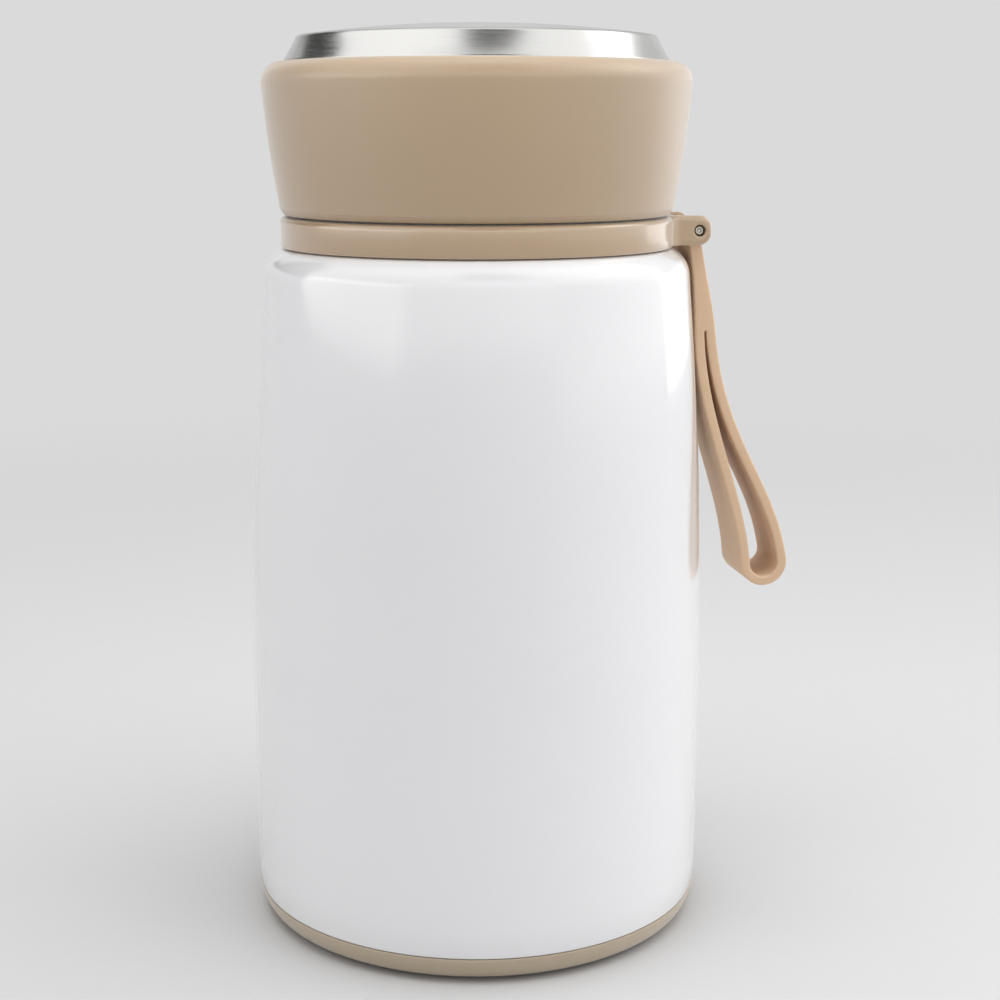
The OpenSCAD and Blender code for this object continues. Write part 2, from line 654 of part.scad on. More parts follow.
// Lid: bevelled lower edge, flared side, rounded top with the bowl's foot standing through it
module lid_shell() {
    side_z = lid_z + lid_bevel_h;
    side_h = lid_edge_z - side_z;
    steps = 10;
    function side_r(t) = lid_low_r + lid_flare * t + 4 * lid_bulge * t * (1 - t);
    side = [for (i = [0 : steps]) [side_r(i / steps), side_z + side_h * i / steps]];
    hole_r = bowl_r + fit_gap;
    seat_r = lid_ring_r + fit_gap;
    roof_z = lid_top_z - lid_wall;
    inner_arc_r = lid_top_r - lid_wall;
    inner_low_t = (bowl_rim_z - side_z) / side_h;
    inner_steps = 6;
    inner_side = [for (i = [0 : inner_steps])
        let (t = inner_low_t + (1 - inner_low_t) * i / inner_steps)
        [side_r(t) - lid_wall, side_z + side_h * t]];
    top = arc(lid_edge_r - lid_top_r, lid_edge_z, lid_top_r, 0, 90, 10);
    color(beige) turned(concat([[seat_r, lid_z], [lid_low_r - lid_bevel_w, lid_z]], side, top,
        [[hole_r, lid_top_z], [hole_r, roof_z], [lid_edge_r - lid_top_r, roof_z]],
        reversed(arc(lid_edge_r - lid_top_r, lid_edge_z, inner_arc_r, 0, 80, 5)),
        reversed(inner_side), [[seat_r, bowl_rim_z]]));
}

// Steel bowl, upside down in the lid: its flared foot is the top of the jar
module lid_bowl() {
    w = bowl_wall;
    foot_steps = 6;
    function foot_side(i) = let (t = i / foot_steps)
        [bowl_r - bowl_foot_in * t - 4 * bowl_foot_hollow * t * (1 - t),
        lid_top_z + (bowl_side_top_z - lid_top_z) * t];
    edge_x = bowl_foot_r - bowl_edge_r * cos(bowl_foot_lean);
    edge_z = bowl_top_z - bowl_edge_r;
    crown_steps = 6;
    crown_lean = asin(edge_x / (bowl_crown_r - bowl_edge_r));
    crown_z = edge_z - (bowl_crown_r - bowl_edge_r) * cos(crown_lean);
    flat_lean = asin(bowl_flat_r / bowl_crown_r);
    flat_z = crown_z + bowl_crown_r * cos(flat_lean);
    function crown(r) = arc(0, crown_z, r, 90 - crown_lean, 90 - flat_lean, crown_steps);
    outside = concat([[bowl_rim_r, bowl_rim_z], [bowl_r, lid_top_z - lid_wall]],
        [for (i = [0 : foot_steps - 1]) foot_side(i)],
        arc(edge_x, edge_z, bowl_edge_r, bowl_foot_lean, 90 - crown_lean - 1, 5),
        crown(bowl_crown_r), [[0, flat_z]]);
    inside = concat([[bowl_rim_r - w, bowl_rim_z], [bowl_r - w, lid_top_z - lid_wall]],
        [for (i = [0 : foot_steps - 1]) foot_side(i) - [w, 0]],
        [[edge_x, edge_z + (bowl_edge_r - w) / 2]], crown(bowl_crown_r - w), [[0, flat_z - w]]);
    color(steel) turned(concat(outside, reversed(inside)));
}

// Threaded ring inside the lid, with the flange that carries the seal and the bowl's rim.
// It is turned so that its ribs run half a pitch below those of the neck.
module lid_thread_ring() {
    flange_in_r = flange_r + 3 * run_gap;
    rib_z = lid_ring_z + 2 * fit_gap + rib_root_w / 2;
    lag = 360 * (rib_z + lid_pitch / 2 - ring_rib_z) / (lid_starts * lid_pitch);
    color(milk) rotate([0, 0, lag]) union() {
        turned([[lid_bore_r, lid_ring_z], [lid_ring_r, lid_ring_z], [lid_ring_r, bowl_rim_z],
            [flange_in_r, bowl_rim_z], [flange_in_r, lid_flange_z], [lid_bore_r, lid_flange_z]]);
        ribs(lid_starts, lid_pitch, lid_rib_turn, lid_bore_r, lid_bore_r + lid_ring_wall / 3,
            ring_r + thread_play, rib_z);
    }
}

module lid_seal() {
    color(milk) tube(flange_r + 2 * soft_gap, lid_bore_r - 2 * soft_gap, seal_z, lid_seal_t);
}

// Plug: threaded wall, flange, top plate and the vent tube down its middle
module stopper_body() {
    tube_r = pocket_r + tube_wall;
    low_tube_r = channel_r + tube_wall;
    pocket_under_z = pocket_z - tube_wall;
    rib_z = shoulder_z + rib_root_w / 2;
    color(milk) union() {
        turned([[plug_r - plug_wall, plug_base_top_z], [plug_r, plug_base_top_z], [plug_r, flange_z],
            [flange_r, flange_z], [flange_r, top_plate_z], [pocket_r, top_plate_z],
            [pocket_r, pocket_z], [channel_r, pocket_z], [channel_r, plug_z], [low_tube_r, plug_z],
            [low_tube_r, pocket_under_z], [tube_r, pocket_z], [tube_r, flange_z],
            [plug_r - plug_wall, flange_z]]);
        ribs(plug_starts, plug_pitch, plug_rib_turn, plug_r, plug_r - plug_wall / 3, plug_crest_r,
            rib_z);
    }
}

module stopper_base() {
    color(milk) tube(channel_r + tube_wall + fit_gap, plug_r, plug_z, plug_base_t);
}

module stopper_foam() {
    gap = 2 * soft_gap;
    z = plug_base_top_z + gap;
    color(white) tube(pocket_r + tube_wall + gap, plug_r - plug_wall - gap, z, flange_z - gap - z);
}

// Cover with a scalloped grip round the vent button
module stopper_cover() {
    color(beige) difference() {
        union() {
            translate([0, 0, top_plate_z]) cylinder(r = cover_r, h = cover_t, $fn = round_fn);
            translate([0, 0, top_plate_z]) cylinder(r = grip_r, h = grip_h, $fn = round_fn);
        }
        translate([0, 0, top_plate_z - 1]) cylinder(r = button_hole_r, h = grip_h + 2, $fn = small_fn);
        for (i = [0 : grip_hollows - 1]) rotate([0, 0, 360 * i / grip_hollows])
            translate([grip_r + grip_hollow_r - grip_hollow_depth, 0, top_plate_z + cover_t])
                cylinder(r = grip_hollow_r, h = grip_h, $fn = small_fn);
    }
}

module stopper_seal() {
    color(milk) tube(flange_r - plug_seal_w, flange_r, seal_z, plug_seal_t);
}

// Button head over a boss that presses on the spring
module vent_button() {
    boss_r = pocket_r - 2 * run_gap;
    dish = 0.6;
    color(beige) difference() {
        union() {
            translate([0, 0, button_z]) cylinder(r = button_r, h = button_h, $fn = small_fn);
            translate([0, 0, spring_top_z])
                cylinder(r = boss_r, h = button_z + 1 - spring_top_z, $fn = small_fn);
        }
        translate([0, 0, button_z + button_h - dish])
            cylinder(r1 = button_r / 2, r2 = button_r * 0.8, h = dish + fit_gap, $fn = small_fn);
        translate([0, 0, spring_top_z - 1])
            cylinder(r = stem_r + fit_gap, h = stem_seat_z - spring_top_z + 1, $fn = small_fn);
    }
}

module vent_stem() {
    top_z = stem_seat_z - fit_gap;
    color(milk) {
        translate([0, 0, stem_z]) cylinder(r = stem_r, h = top_z - stem_z, $fn = small_fn);
        translate([0, 0, stem_z]) cylinder(r = 2 * stem_r, h = stem_head_h, $fn = small_fn);
    }
}

module vent_disc() {
    color(grey) tube(stem_r + fit_gap, valve_disc_r, disc_z, valve_disc_t, small_fn);
}

// Compression spring between the pocket's floor and the button's boss
module vent_spring() {
    sides = 8;
    steps = 16 * coil_turns;
    low_z = pocket_z + soft_gap + wire_r;
    rise = spring_top_z - soft_gap - wire_r - low_z;
    points = [for (i = [0 : steps], k = [0 : sides - 1])
        let (a = 360 * coil_turns * i / steps, b = 360 * k / sides, r = coil_r + wire_r * cos(b))
        [r * cos(a), r * sin(a), low_z + rise * i / steps + wire_r * sin(b)]];
    faces = concat([for (i = [0 : steps - 1], k = [0 : sides - 1]) let (n = (k + 1) % sides)
        [sides * i + k, sides * i + sides + k, sides * i + sides + n, sides * i + n]],
        [[for (k = [0 : sides - 1]) k], [for (k = [sides - 1 : -1 : 0]) sides * steps + k]]);
    color(steel) polyhedron(points, faces);
}

outer_shell();
shell_bottom();
vacuum_solder();
getter();
inner_vessel();
heat_shield();
base_cap();
base_pad();
neck_thread_ring();
collar();
strap_pin();
strap();
lid_shell();
lid_bowl();
lid_thread_ring();
lid_seal();
stopper_body();
stopper_base();
stopper_foam();
stopper_cover();
stopper_seal();
vent_button();
vent_stem();
vent_disc();
vent_spring();
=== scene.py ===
from math import acos, asin, atan2, cos, pi, radians, sin, sqrt, tan

import bmesh
import bpy
from mathutils import Matrix, Vector


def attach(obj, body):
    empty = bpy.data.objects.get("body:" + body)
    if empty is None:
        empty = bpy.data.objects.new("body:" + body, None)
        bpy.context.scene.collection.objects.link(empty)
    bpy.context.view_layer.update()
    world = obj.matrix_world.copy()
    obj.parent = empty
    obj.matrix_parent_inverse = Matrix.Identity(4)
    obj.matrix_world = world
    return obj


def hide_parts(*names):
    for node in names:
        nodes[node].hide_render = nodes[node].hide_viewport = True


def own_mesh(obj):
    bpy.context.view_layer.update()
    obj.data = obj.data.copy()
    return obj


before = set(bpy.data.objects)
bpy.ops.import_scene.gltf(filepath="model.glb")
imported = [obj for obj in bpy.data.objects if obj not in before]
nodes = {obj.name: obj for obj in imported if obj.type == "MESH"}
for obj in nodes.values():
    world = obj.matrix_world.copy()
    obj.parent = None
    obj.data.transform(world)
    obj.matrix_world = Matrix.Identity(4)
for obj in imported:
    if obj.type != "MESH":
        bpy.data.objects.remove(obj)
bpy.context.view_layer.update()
MM = 0.001

# -------------------------------------------- sizes, in millimetres, as in the CAD

FIT_GAP = 0.05

# steel shell
BODY_R = 50.0
TAPER_Z = 59.0
TAPER_DROP = 4.2
LEAN_DEGREES = 5
LEAN = radians(LEAN_DEGREES)
SHOULDER_Z = 148.2
SHOULDER_R = 6.0
ARC_X = BODY_R - TAPER_DROP - SHOULDER_R * cos(LEAN)
ARC_Z = SHOULDER_Z - SHOULDER_R
TAPER_TOP = ARC_Z + SHOULDER_R * sin(LEAN)
TAPER_POWER = tan(LEAN) * (TAPER_TOP - TAPER_Z) / TAPER_DROP
SHELL_WALL = 0.6
HEM_H = 6.5
HEM_SWEEP_R = 40.0
HEM_EDGE_R = 0.18
NECK_R = 36.0
NECK_TOP = 162.9
NECK_FILLET_R = 0.9

# base cap
CAP_H = 5.8
CAP_TOP_R = 49.5
CAP_EDGE_R = 6.2
CAP_WALL = 1.6
CAP_LIFT = 0.8
CAP_FLOOR_Z = 1.55
CAP_FLOOR_TOP = 3.25
FOOT_STEP = 3.6
FOOT_W = 5
SEAM = 0.2

# collar, lug and pin
RING_TOP_R = 42.1
COLLAR_IN_R = 37.65
COLLAR_TOP = 154.6
COLLAR_EDGE_R = 1.2
COLLAR_LIP_R = 38.95
COLLAR_LIP_H = 1.6
LUG_X = 49.7
LUG_ROOT_X = 39.6
LUG_HALF = 10.0
LUG_END_R = 2.7
LUG_EDGE_R = 0.9
LUG_FILLET_R = 2.5
LUG_VOXEL = 0.11
SLOT_HALF = 7.7
SLOT_GAP = 0.2
PIN_X = 47.0
PIN_Z = 151.4
PIN_R = 1.0
PIN_SINK = 0.62
PIN_SINK_GAP = 0.25
PIN_TIP = ((0, 0.5), (0.3, 0.46), (0.52, 0.1), (0.62, 0), (0.78, 0.03), (0.93, 0.16), (PIN_R, 0.4))
ON_PIN = Matrix.Translation((PIN_X * MM, 0, PIN_Z * MM)) @ Matrix.Rotation(radians(90), 4, "X")

# strap, measured from the pin
STRAP_HALF = 7.5
STRAP_EDGE_R = 0.42
STRAP_GAP = 0.35
LEG_T = 2.1
SLIT_HALF = 0.2
SLIT_DROP = 22.15
EYE_R = 2.5
PIN_PLAY = 0.06
LOOP_OUT = 17.7
LOOP_DROP = 74.65
LOOP_R = 4.3

# lid and its steel bowl
LID_Z = 155.0
LID_TOP = 186.55
LID_LOW_R = 42.1
LID_SEAT_R = 40.3
LID_WALL = 2
LID_BEVEL_W = 0.9
LID_BEVEL_H = 1.3
LID_FLARE = 3.45
LID_BULGE = 0.35
LID_TOP_R = 4.05
LID_EDGE_Z = LID_TOP - LID_TOP_R
LID_EDGE_R = LID_LOW_R + LID_FLARE
BOWL_WALL = 0.6
BOWL_R = LID_EDGE_R - LID_TOP_R - BOWL_WALL
BOWL_TOP = LID_TOP + 5.35
BOWL_FOOT_IN = 2.8
BOWL_FOOT_HOLLOW = 0.15
BOWL_EDGE_R = 0.8
BOWL_CROWN_R = 275.0
BOWL_FLAT_R = 16.0
BOWL_FLAT_EDGE_R = 25
BOWL_RIM_Z = 165.9
BOWL_RIM_R = 40.2

# how finely round things are cut
ROUND = 320
CREASE = 32


def spread(start, length, steps):
    """Values at equal steps from a start over a length."""
    return [start + length * i / steps for i in range(steps + 1)]


def arc(x, z, r, start, end, steps):
    """Points of an arc about (x, z), with angles in degrees."""
    return [(x + r * cos(radians(a)), z + r * sin(radians(a)))
            for a in spread(start, end - start, steps)]


def rounded(points, steps=4):
    """A closed outline whose corners given as (x, z, radius) are replaced by arcs."""
    most_of_a_side = 0.49
    out, n = [], len(points)
    for i, p in enumerate(points):
        if len(p) == 2:
            out.append(p)
            continue
        a, b, c = Vector(points[i - 1][:2]), Vector(p[:2]), Vector(points[(i + 1) % n][:2])
        u, v = (a - b).normalized(), (c - b).normalized()
        half = acos(max(-1, min(1, u.dot(v)))) / 2
        reach = min(p[2] / tan(half), (a - b).length * most_of_a_side,
                    (c - b).length * most_of_a_side)
        r = reach * tan(half)
        centre = b + (u + v).normalized() * (r / sin(half))
        s = b + u * reach - centre
        e = b + v * reach - centre
        sweep = atan2(s.x * e.y - s.y * e.x, s.dot(e))
        for k in range(steps + 1):
            t = sweep * k / steps
            out.append((centre.x + s.x * cos(t) - s.y * sin(t),
                        centre.y + s.x * sin(t) + s.y * cos(t)))
    return out


# -------------------------------------------- meshes

def add_object(name, data):
    obj = bpy.data.objects.new(name, data)
    bpy.context.scene.collection.objects.link(obj)
    return obj


def face_outward(mesh, weld=0.0):
    """Welds points nearer than weld, in metres, and turns all faces outward."""
    bm = bmesh.new()
    bm.from_mesh(mesh)
    if weld:
        bmesh.ops.remove_doubles(bm, verts=bm.verts, dist=weld)
    bmesh.ops.recalc_face_normals(bm, faces=bm.faces)
    bm.to_mesh(mesh)
    bm.free()


def shade(obj, crease=CREASE):
    """Smooth shading, but for edges sharper than the crease in degrees."""
    mesh = obj.data
    mesh.polygons.foreach_set("use_smooth", [True] * len(mesh.polygons))
    mesh.set_sharp_from_angle(angle=radians(crease))


def new_object(name, vertices, faces, crease=CREASE):
    """A shaded mesh object, from points in millimetres."""
    mesh = bpy.data.meshes.new(name)
    mesh.from_pydata([Vector(v) * MM for v in vertices], [], faces)
    mesh.validate()
    face_outward(mesh)
    obj = add_object(name, mesh)
    shade(obj, crease)
    return obj


def lathe(name, outline, segments=ROUND, crease=CREASE):
    """A solid of revolution about Z from a closed outline of (radius, height)."""
    on_axis = 1e-6
    vertices, rings = [], []
    for r, z in outline:
        if r < on_axis:
            rings.append([len(vertices)] * segments)
            vertices.append((0, 0, z))
        else:
            rings.append(list(range(len(vertices), len(vertices) + segments)))
            vertices += [(r * cos(2 * pi * k / segments), r * sin(2 * pi * k / segments), z)
                         for k in range(segments)]
    faces = []
    for i, low in enumerate(rings):
        high = rings[(i + 1) % len(rings)]
        for k in range(segments):
            n = (k + 1) % segments
            face = [low[k], low[n], high[n], high[k]]
            face = [f for j, f in enumerate(face) if f != face[j - 1]]
            if len(set(face)) > 2:
                faces.append(face)
    return new_object(name, vertices, faces, crease)


def evaluated_mesh(obj):
    """The mesh that an object shows, with its modifiers or its curve's bevel."""
    graph = bpy.context.evaluated_depsgraph_get()
    return bpy.data.meshes.new_from_object(obj.evaluated_get(graph))


def apply_modifiers(obj):
    mesh, old = evaluated_mesh(obj), obj.data
    obj.modifiers.clear()
    obj.data = mesh
    bpy.data.meshes.remove(old)


def prism(name, outline, low, high, axis="Y"):
    """An outline extruded along an axis: (x, z) along Y, or (x, y) along Z."""
    n = len(outline)
    if axis == "Y":
        vertices = [(x, y, z) for y in (low, high) for x, z in outline]
    else:
        vertices = [(x, y, z) for z in (low, high) for x, y in outline]
    faces = [list(range(n)), list(range(n, 2 * n))[::-1]]
    faces += [[i, (i + 1) % n, n + (i + 1) % n, n + i] for i in range(n)]
    return new_object(name, vertices, faces)


def combine(target, tool, operation):
    """Joins the tool to the target or cuts it away, and removes the tool."""
    mod = target.modifiers.new("combine", "BOOLEAN")
    mod.operation = operation
    mod.object = tool
    mod.solver = "EXACT"
    bpy.context.view_layer.update()
    apply_modifiers(target)
    bpy.data.objects.remove(tool)


# -------------------------------------------- materials

NOISE_MIDDLE = (0.3, 0.7)


class Nodes:
    """A small builder of node materials."""

    def __init__(self, name):
        self.mat = bpy.data.materials.new(name)
        self.mat.use_nodes = True
        self.tree = self.mat.node_tree
        self.tree.nodes.clear()
        self.out = self.add("ShaderNodeOutputMaterial")
        self.bsdf = self.add("ShaderNodeBsdfPrincipled")
        self.link(self.bsdf.outputs[0], self.out.inputs["Surface"])
        self.coords = self.add("ShaderNodeTexCoord").outputs["Object"]

    def add(self, kind, **values):
        """A node, with its properties and constant inputs."""
        node = self.tree.nodes.new(kind)
        for key, value in values.items():
            if hasattr(node, key):
                setattr(node, key, value)
            else:
                node.inputs[key.replace("_", " ")].default_value = value
        return node

    def link(self, a, b):
        self.tree.links.new(a, b)

    def plug(self, value, socket):
        """A value for a socket: another socket's output, a number or a colour."""
        if isinstance(value, (tuple, list)):
            socket.default_value = (*value[:3], 1)
        elif isinstance(value, (int, float)):
            socket.default_value = value
        else:
            self.link(value, socket)

    def set(self, **values):
        """Constant inputs of the surface shader."""
        for key, value in values.items():
            self.bsdf.inputs[key.replace("_", " ")].default_value = value

    def noise(self, scale, detail=3.0, rough=0.55, vector=None):
        node = self.add("ShaderNodeTexNoise", Scale=scale, Detail=detail, Roughness=rough)
        self.link(vector or self.coords, node.inputs["Vector"])
        return node.outputs["Fac"]

    def ramp(self, value, low, high, out_low, out_high, shape="LINEAR"):
        """A value between low and high, mapped to between out_low and out_high."""
        node = self.add("ShaderNodeMapRange", interpolation_type=shape)
        for i, v in enumerate((low, high, out_low, out_high)):
            node.inputs[i + 1].default_value = v
        self.link(value, node.inputs[0])
        return node.outputs[0]

    def vary(self, noise, low, high):
        """The middle of a noise's range, mapped to between low and high."""
        return self.ramp(noise, *NOISE_MIDDLE, low, high)

    def mix(self, factor, a, b):
        node = self.add("ShaderNodeMix", data_type="RGBA")
        for value, i in ((factor, 0), (a, 6), (b, 7)):
            self.plug(value, node.inputs[i])
        return node.outputs[2]

    def math(self, operation, a, b=0.0):
        node = self.add("ShaderNodeMath", operation=operation)
        self.plug(a, node.inputs[0])
        self.plug(b, node.inputs[1])
        return node.outputs[0]

    def colour(self, socket):
        self.link(socket, self.bsdf.inputs["Base Color"])

    def roughness(self, socket):
        self.link(socket, self.bsdf.inputs["Roughness"])

    def bump(self, height, strength, distance, previous=None):
        """Relief from a height, on top of the previous relief if there is one."""
        node = self.add("ShaderNodeBump", Strength=strength, Distance=distance)
        self.link(height, node.inputs["Height"])
        if previous is not None:
            self.link(previous, node.inputs["Normal"])
        self.link(node.outputs[0], self.bsdf.inputs["Normal"])
        return node.outputs[0]

    def glow(self, colour, strength):
        return self.add("ShaderNodeEmission", Color=(*colour, 1), Strength=strength).outputs[0]

    def surface(self, factor, a, b):
        """The surface shows shader a where the factor is 0 and shader b where it is 1."""
        node = self.add("ShaderNodeMixShader")
        for i, socket in enumerate((factor, a, b)):
            self.link(socket, node.inputs[i])
        self.link(node.outputs[0], self.out.inputs["Surface"])

    def radius_height(self, scale, angle_scale):
        """Coordinates that follow the distance from the axis, the height and the angle."""
        split = self.add("ShaderNodeSeparateXYZ")
        self.link(self.coords, split.inputs[0])
        x, y, z = split.outputs
        square = self.math("ADD", self.math("MULTIPLY", x, x), self.math("MULTIPLY", y, y))
        join = self.add("ShaderNodeCombineXYZ")
        for i, (value, times) in enumerate((
                (self.math("SQRT", square), scale), (z, scale),
                (self.math("ARCTAN2", y, x), angle_scale))):
            self.link(self.math("MULTIPLY", value, times), join.inputs[i])
        return join.outputs[0]


def shaded(colour, share):
    return tuple(c * share for c in colour)


def lacquer():
    """Glossy white lacquer under a clear coat, with a faint waviness."""
    m = Nodes("white_lacquer")
    base = (0.86, 0.86, 0.875)
    m.colour(m.mix(m.noise(35, 2), shaded(base, 0.985), base))
    m.roughness(m.vary(m.noise(420, 4), 0.16, 0.22))
    m.set(IOR=1.5, Coat_Weight=1.0, Coat_Roughness=0.06, Coat_IOR=1.6)
    m.bump(m.noise(500, 2, 0.5), 0.02, 0.0004)
    return m.mat


def moulded(name, base, rough, grain, strength, coat=0.0, spread=0.05, sheen=0.0, gloss=0.5,
            ior=1.5, matte=0.05):
    """Moulded plastic: a slight drift of tone and a fine eroded grain. matte is how much the
    roughness varies, spread how much the tone does, and strength is the grain's relief."""
    m = Nodes(name)
    drift = m.mix(m.noise(28, 2), shaded(base, 1 - spread), shaded(base, 1 + spread / 2))
    pits = m.ramp(m.noise(grain * 1.7, 2), 0.35, 0.7, 0.0, 0.22)
    m.colour(m.mix(pits, drift, shaded(base, 0.9)))
    m.roughness(m.vary(m.noise(grain, 3), rough - matte, rough + matte))
    m.set(IOR=ior, Specular_IOR_Level=gloss, Coat_Weight=coat, Coat_Roughness=0.12,
          Sheen_Weight=sheen, Sheen_Roughness=0.45)
    fine = m.bump(m.noise(grain, 3, 0.6), strength, 0.00012)
    m.bump(m.noise(160, 2), strength * 0.25, 0.0002, fine)
    return m.mat


def silicone(name, base, rough=0.55):
    """Soft silicone: a little light goes through it, and fine dust lies on it."""
    m = Nodes(name)
    drift = m.mix(m.noise(60, 2), shaded(base, 0.93), shaded(base, 1.03))
    specks = m.ramp(m.noise(1600, 1), 0.7, 0.76, 0.0, 0.35)
    m.colour(m.mix(specks, drift, shaded(base, 0.7)))
    m.roughness(m.vary(m.noise(900, 3), rough - 0.07, rough + 0.07))
    m.set(IOR=1.42, Specular_IOR_Level=0.3, Subsurface_Weight=0.15,
          Subsurface_Radius=(0.0016, 0.0011, 0.0007), Subsurface_Scale=1.0,
          Sheen_Weight=0.06, Sheen_Roughness=0.5)
    m.bump(m.noise(2400, 2), 0.12, 0.00008)
    return m.mat


def steel(name, base, rough, lines, strength, spread=0.05):
    """Spun steel: fine rings round the axis, and a soft blotchiness across them."""
    m = Nodes(name)
    grooves = m.noise(1.0, 4, 0.7, m.radius_height(lines, 3.0))
    m.colour(m.mix(m.noise(70, 3), shaded(base, 1 - spread), base))
    blotches = m.ramp(m.noise(240, 4), 0.4, 0.8, 0.0, 0.03)
    m.roughness(m.math("ADD", m.vary(grooves, rough - 0.05, rough + 0.07), blotches))
    m.set(Metallic=1.0, Anisotropic=0.5, IOR=2.5)
    tangent = m.add("ShaderNodeTangent", direction_type="RADIAL", axis="Z")
    m.link(tangent.outputs[0], m.bsdf.inputs["Tangent"])
    m.bump(grooves, strength, 0.00002)
    return m.mat


def metal(name, base, rough, scale=600.0, strength=0.08):
    """Plain metal with a fine uneven finish."""
    m = Nodes(name)
    m.colour(m.mix(m.noise(scale / 6, 3), shaded(base, 0.93), base))
    m.roughness(m.vary(m.noise(scale, 4), rough - 0.05, rough + 0.08))
    m.set(Metallic=1.0, IOR=2.5)
    m.bump(m.noise(scale * 2, 3), strength, 0.00003)
    return m.mat


BEIGE = (0.405, 0.262, 0.125)
BASE_BEIGE = (0.43, 0.335, 0.22)
GLOSS_BEIGE = (0.44, 0.287, 0.145)
LACQUER = lacquer()
LID_PLASTIC = moulded("matte_beige", BEIGE, rough=0.42, grain=2600, strength=0.14, sheen=0.8,
                      gloss=1.0, ior=1.7)
BASE_PLASTIC = moulded("base_beige", BASE_BEIGE, rough=0.42, grain=2400, strength=0.16,
                       sheen=0.5, gloss=1.0, ior=1.6)
COLLAR_PLASTIC = moulded("gloss_beige", GLOSS_BEIGE, rough=0.24, grain=1800, strength=0.003,
                         coat=0.6, spread=0.03, sheen=0.5, gloss=0.9, ior=1.7, matte=0.008)
STRAP_SILICONE = silicone("strap_silicone", (0.74, 0.525, 0.35))
PAD_SILICONE = silicone("beige_silicone", (0.45, 0.34, 0.27), rough=0.6)
FOOT_STEEL = steel("satin_steel", (0.69, 0.685, 0.675), rough=0.19, lines=9000.0, strength=0.08,
                   spread=0.03)
VESSEL_STEEL = steel("vessel_steel", (0.70, 0.70, 0.69), rough=0.27, lines=7000.0, strength=0.18)
PIN_STEEL = metal("pin_steel", (0.52, 0.50, 0.45), rough=0.2)
COPPER = metal("copper_foil", (0.80, 0.42, 0.28), rough=0.25)
GETTER = metal("getter_metal", (0.30, 0.30, 0.31), rough=0.5, scale=1800, strength=0.3)
MILK = moulded("milk_plastic", (0.80, 0.77, 0.71), rough=0.38, grain=2200, strength=0.08,
               spread=0.03)
SEAL = silicone("clear_silicone", (0.78, 0.76, 0.72), rough=0.4)
FOAM = moulded("white_foam", (0.86, 0.86, 0.84), rough=0.8, grain=700, strength=0.5, spread=0.04)
SOLDER = moulded("solder_glass", (0.30, 0.27, 0.22), rough=0.3, grain=900, strength=0.2)
BUTTON_PLASTIC = moulded("button_plastic", GLOSS_BEIGE, rough=0.33, grain=2200, strength=0.1,
                         coat=0.2)


def dress(obj, material):
    obj.data.materials.clear()
    obj.data.materials.append(material)


def stand_for(obj, material, body, node):
    """Makes obj a piece on a body, in the place of a CAD node if one is named."""
    dress(obj, material)
    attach(obj, body)
    if node:
        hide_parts(*([node] if isinstance(node, str) else node))


# -------------------------------------------- outer shell

def wall_r(z):
    """Radius of the body's outside at a height."""
    if z <= TAPER_Z:
        return BODY_R
    return BODY_R - TAPER_DROP * ((z - TAPER_Z) / (TAPER_TOP - TAPER_Z)) ** TAPER_POWER


def hem_r(z):
    """Radius of the hem, which sweeps in towards the base cap."""
    top = CAP_H + SEAM + HEM_H
    return BODY_R - HEM_SWEEP_R + sqrt(HEM_SWEEP_R ** 2 - (top - z) ** 2)


def body_side(inward):
    """The drawn-in wall and the shoulder's arc, moved inward."""
    side = [(wall_r(z) - inward, z) for z in spread(TAPER_Z, TAPER_TOP - TAPER_Z, 48)[:-1]]
    return side + arc(ARC_X, ARC_Z, SHOULDER_R - inward, LEAN_DEGREES, 90, 20)


def neck_fillet(r):
    return arc(NECK_R + NECK_FILLET_R, SHOULDER_Z + NECK_FILLET_R, r, 270, 180, 6)


def shell_outline():
    wall = SHELL_WALL
    hem_z = CAP_H + SEAM
    skirt = CAP_TOP_R - CAP_WALL - FIT_GAP
    hem = [(hem_r(z), z) for z in spread(hem_z, HEM_H, 12)]
    outside = ([(skirt, CAP_FLOOR_TOP), (skirt, hem_z), (*hem[0], HEM_EDGE_R)] + hem[1:]
               + body_side(0) + neck_fillet(NECK_FILLET_R) + [(NECK_R, NECK_TOP)])
    inside = ([(skirt - wall, CAP_FLOOR_TOP), (skirt - wall, hem_z + wall),
               (hem[0][0] - wall, hem_z + wall)] + [(r - wall, z) for r, z in hem[2:]]
              + body_side(wall) + neck_fillet(NECK_FILLET_R + wall) + [(NECK_R - wall, NECK_TOP)])
    return rounded(outside + inside[::-1])


shell = lathe("shell_outer", shell_outline())
stand_for(shell, LACQUER, "flask", "outer_shell")


# -------------------------------------------- base

def cap_side_r(z):
    """Radius of the base cap's side, which rounds in towards the foot."""
    return CAP_TOP_R - CAP_EDGE_R + sqrt(CAP_EDGE_R ** 2 - (CAP_H - z) ** 2)


def base_outline():
    low = cap_side_r(CAP_LIFT)
    foot = low - FOOT_STEP
    rim = CAP_TOP_R - CAP_WALL
    foot_edge, step_edge, low_edge, top_edge, rim_edge = 0.4, 0.2, 0.5, 0.22, 0.15
    low_inset = 0.35
    # the side starts above its rounded lower edge and stops below the upper one
    side_z, side_h = CAP_LIFT + 0.6, CAP_H - CAP_LIFT - 0.9
    return rounded(
        [(0, CAP_FLOOR_TOP), (0, CAP_FLOOR_Z), (foot - FOOT_W, CAP_FLOOR_Z),
         (foot - FOOT_W, 0, foot_edge), (foot, 0, foot_edge), (foot, CAP_LIFT, step_edge),
         (low - low_inset, CAP_LIFT, low_edge)]
        + [(cap_side_r(z), z) for z in spread(side_z, side_h, 16)]
        + [(CAP_TOP_R, CAP_H, top_edge), (rim, CAP_H, rim_edge), (rim, CAP_FLOOR_TOP)])


base = lathe("base_cap_detailed", base_outline(), 256)
stand_for(base, BASE_PLASTIC, "flask", "base_cap")


